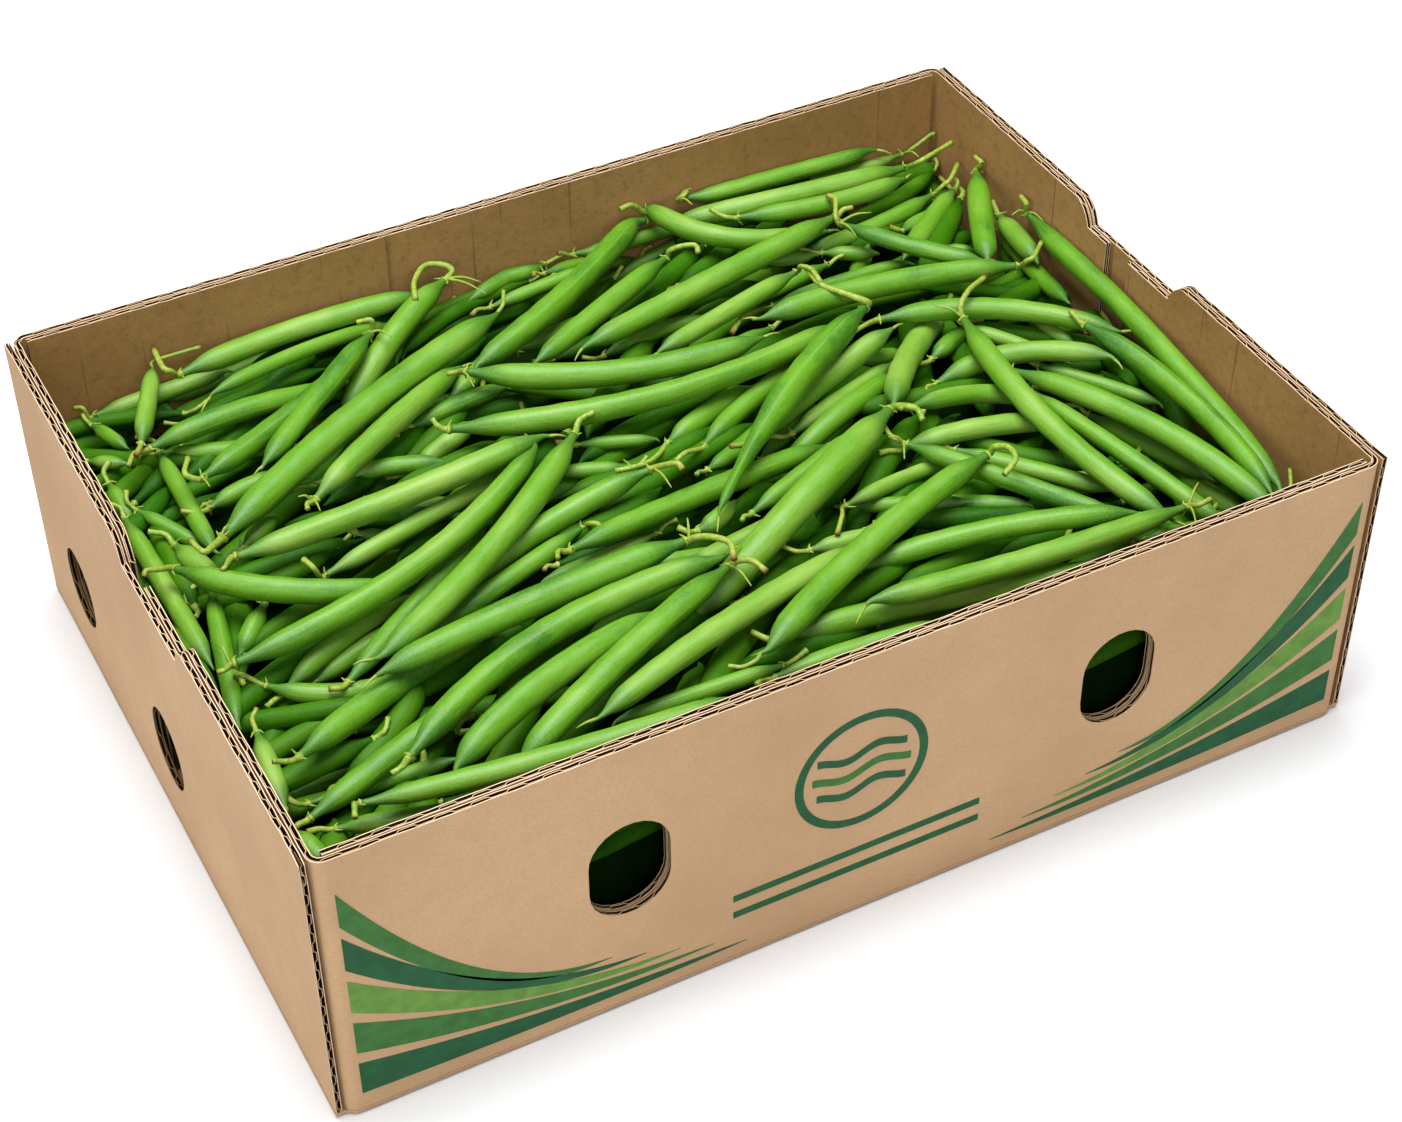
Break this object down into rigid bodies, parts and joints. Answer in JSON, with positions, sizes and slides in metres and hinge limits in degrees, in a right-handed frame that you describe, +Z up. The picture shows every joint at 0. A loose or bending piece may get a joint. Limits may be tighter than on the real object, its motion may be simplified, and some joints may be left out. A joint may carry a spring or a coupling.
{
  "type": "carton of green beans",
  "caption": "Open corrugated carton tray with rounded folds, rim dips and air holes, heaped full of loose fine green beans.",
  "frame": {"origin": "on the surface the carton stands on, under the middle of the carton", "axes": "+X along the long front wall to its right, +Y from the front wall to the back wall, +Z up"},
  "size_m": [0.3, 0.22, 0.09],
  "materials": {
    "kraft_board": "matte",
    "bean_skin": "satin"
  },
  "bodies": {
    "root": {"tray_blank": "kraft_board", "liner_front": "kraft_board", "liner_back": "kraft_board", "bean_01": "bean_skin", "bean_02": "bean_skin", "bean_03": "bean_skin", "bean_04": "bean_skin", "bean_05": "bean_skin", "bean_06": "bean_skin", "bean_07": "bean_skin", "bean_08": "bean_skin", "bean_09": "bean_skin", "bean_10": "bean_skin", "bean_11": "bean_skin", "bean_12": "bean_skin", "bean_13": "bean_skin", "bean_14": "bean_skin", "bean_15": "bean_skin", "bean_16": "bean_skin", "bean_17": "bean_skin", "bean_18": "bean_skin", "bean_19": "bean_skin", "bean_20": "bean_skin", "bean_21": "bean_skin", "bean_22": "bean_skin", "bean_23": "bean_skin", "bean_24": "bean_skin", "bean_25": "bean_skin", "bean_26": "bean_skin", "bean_27": "bean_skin", "bean_28": "bean_skin", "bean_29": "bean_skin", "bean_30": "bean_skin", "bean_31": "bean_skin", "bean_32": "bean_skin", "bean_33": "bean_skin", "bean_34": "bean_skin", "bean_35": "bean_skin", "bean_36": "bean_skin", "bean_37": "bean_skin", "bean_38": "bean_skin", "bean_39": "bean_skin", "bean_40": "bean_skin", "bean_41": "bean_skin", "bean_42": "bean_skin", "bean_43": "bean_skin", "bean_44": "bean_skin", "bean_45": "bean_skin", "bean_46": "bean_skin", "bean_47": "bean_skin", "bean_48": "bean_skin", "bean_49": "bean_skin", "bean_50": "bean_skin", "bean_51": "bean_skin", "bean_52": "bean_skin", "bean_53": "bean_skin", "bean_54": "bean_skin", "bean_bed": "bean_skin"}
  },
  "joints": []
}
